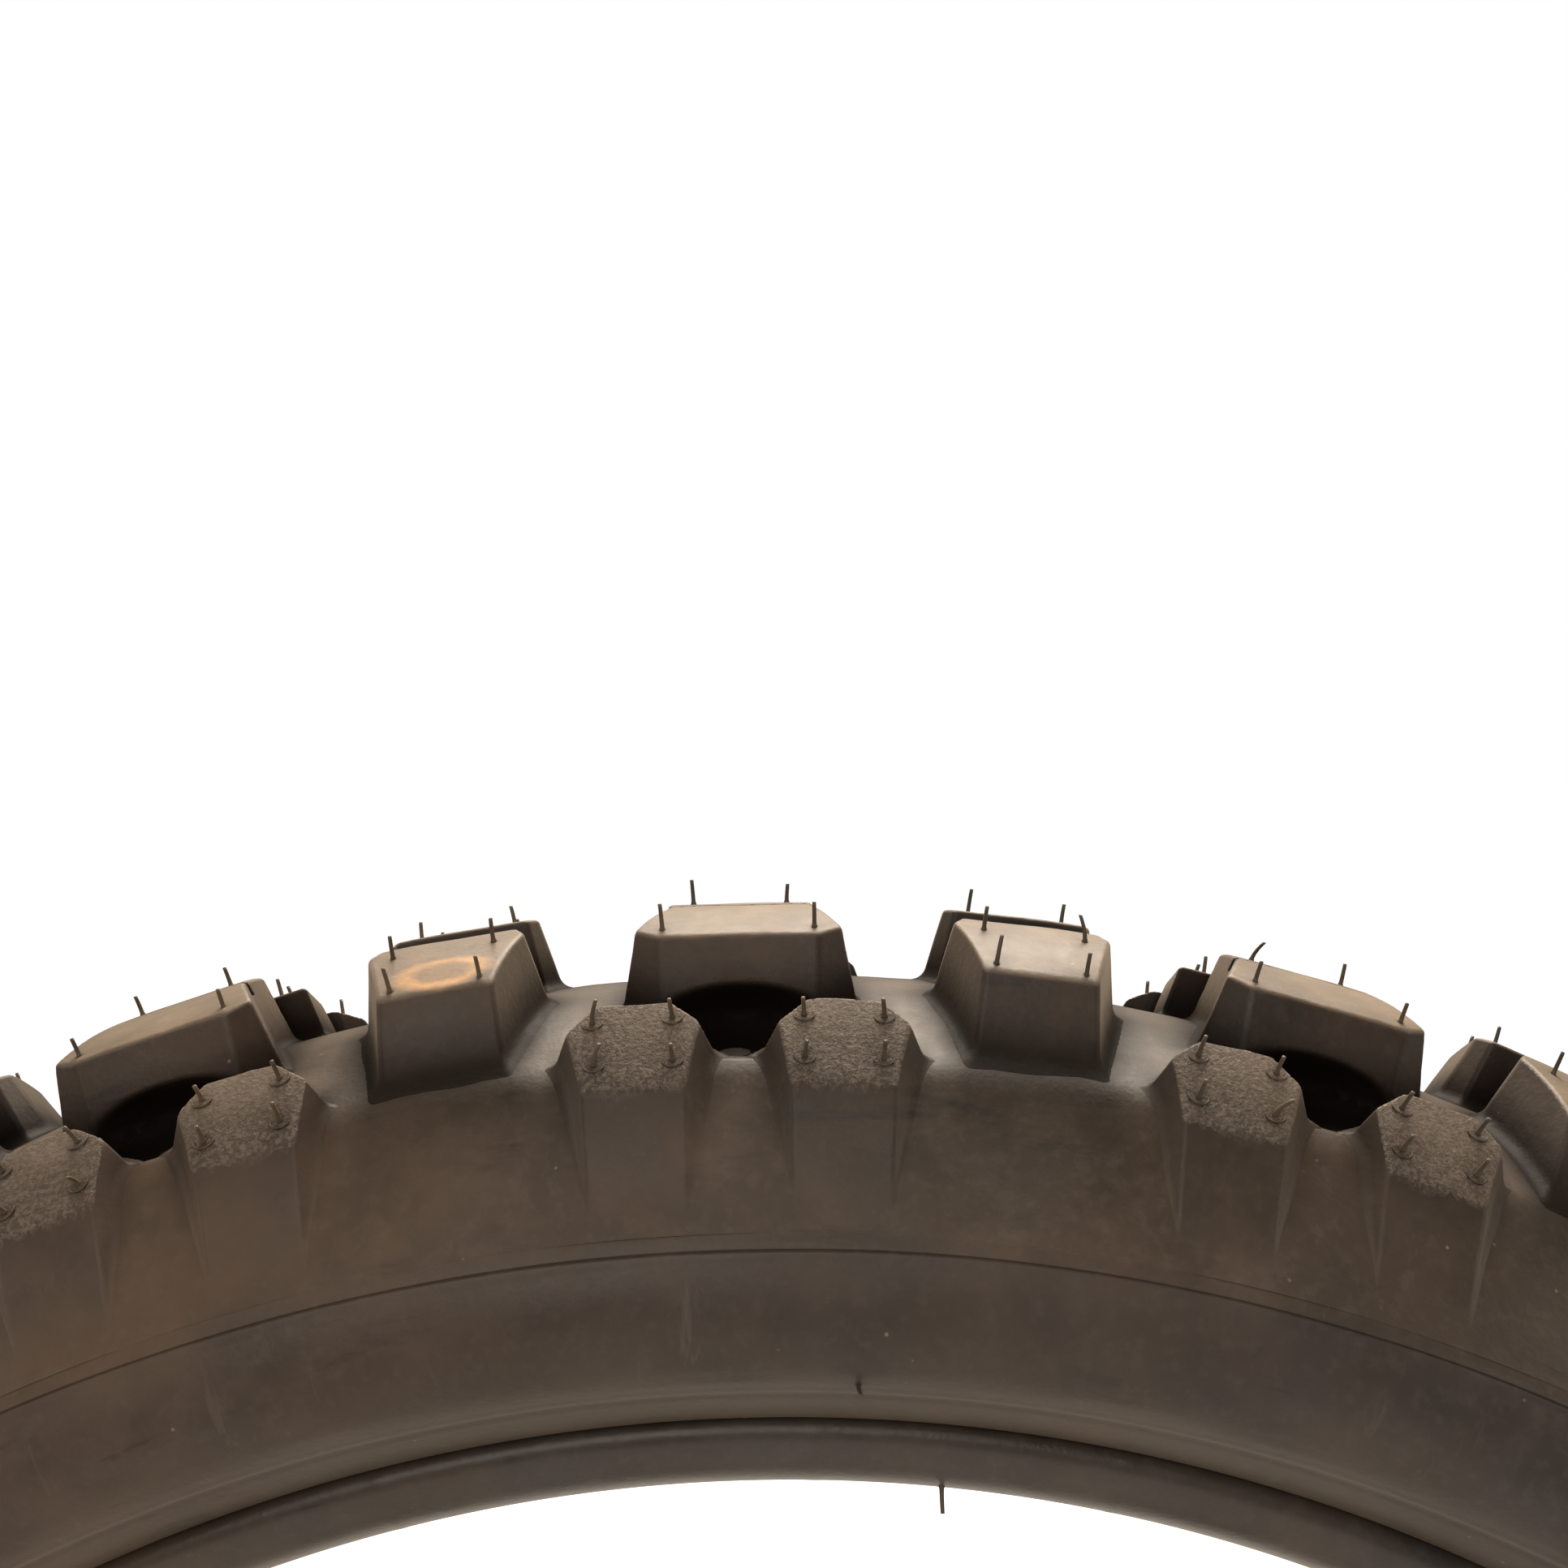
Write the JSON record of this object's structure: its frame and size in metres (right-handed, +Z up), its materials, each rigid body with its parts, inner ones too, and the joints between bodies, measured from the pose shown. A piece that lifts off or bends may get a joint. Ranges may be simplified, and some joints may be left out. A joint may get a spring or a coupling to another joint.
{
  "type": "motorcycle tyre",
  "caption": "Bare off-road motorcycle tyre with rows of block knobs, steel bead cores, fabric plies and fine vent spews, for a 19 inch rim.",
  "frame": {"origin": "centre of the tyre, on the spin axis, midway between the two beads", "axes": "+Y along the spin axis, +Z up when the tyre stands, +X towards the front of the tyre; left is the -Y side"},
  "size_m": [0.665, 0.1138, 0.6648],
  "materials": {
    "liner_rubber": "satin black inner liner rubber",
    "ply_cord": "rubber coated nylon cord fabric",
    "bead_steel": "bronze coated steel wire",
    "wrap_fabric": "rubberised square woven fabric",
    "filler_rubber": "hard matt black rubber",
    "bead_rubber": "smooth satin moulded rubber",
    "sidewall_rubber": "satin moulded rubber with a brown bloom and light scuffs",
    "tread_rubber": "satin moulded rubber with a brown bloom",
    "knob_rubber": "matt moulded rubber, grainy on the tops, brown bloom and light edge wear",
    "spew_rubber": "satin black rubber whiskers"
  },
  "bodies": {
    "root": {"inner_liner": "liner_rubber", "carcass_ply_inner": "ply_cord", "carcass_ply_outer": "ply_cord", "breaker_ply_inner": "ply_cord", "breaker_ply_outer": "ply_cord", "bead_wires_left": "bead_steel", "bead_wires_right": "bead_steel", "bead_wrap_left": "wrap_fabric", "bead_wrap_right": "wrap_fabric", "bead_filler_left": "filler_rubber", "bead_filler_right": "filler_rubber", "bead_chafer_left": "wrap_fabric", "bead_chafer_right": "wrap_fabric", "rim_cushion_left": "bead_rubber", "rim_cushion_right": "bead_rubber", "sidewall_left": "sidewall_rubber", "sidewall_right": "sidewall_rubber", "tread_base": "tread_rubber", "centre_knobs": "knob_rubber", "intermediate_knobs_left": "knob_rubber", "intermediate_knobs_right": "knob_rubber", "offset_knobs_right": "knob_rubber", "shoulder_knobs_left": "knob_rubber", "shoulder_knobs_right": "knob_rubber", "vent_spews_centre": "spew_rubber", "vent_spews_offset_right": "spew_rubber", "vent_spews_intermediate_left": "spew_rubber", "vent_spews_intermediate_right": "spew_rubber", "vent_spews_shoulder_left": "spew_rubber", "vent_spews_shoulder_right": "spew_rubber", "vent_spews_sidewall_left": "spew_rubber", "vent_spews_sidewall_right": "spew_rubber", "vent_spews_bead_left": "spew_rubber", "vent_spews_bead_right": "spew_rubber"}
  },
  "joints": []
}
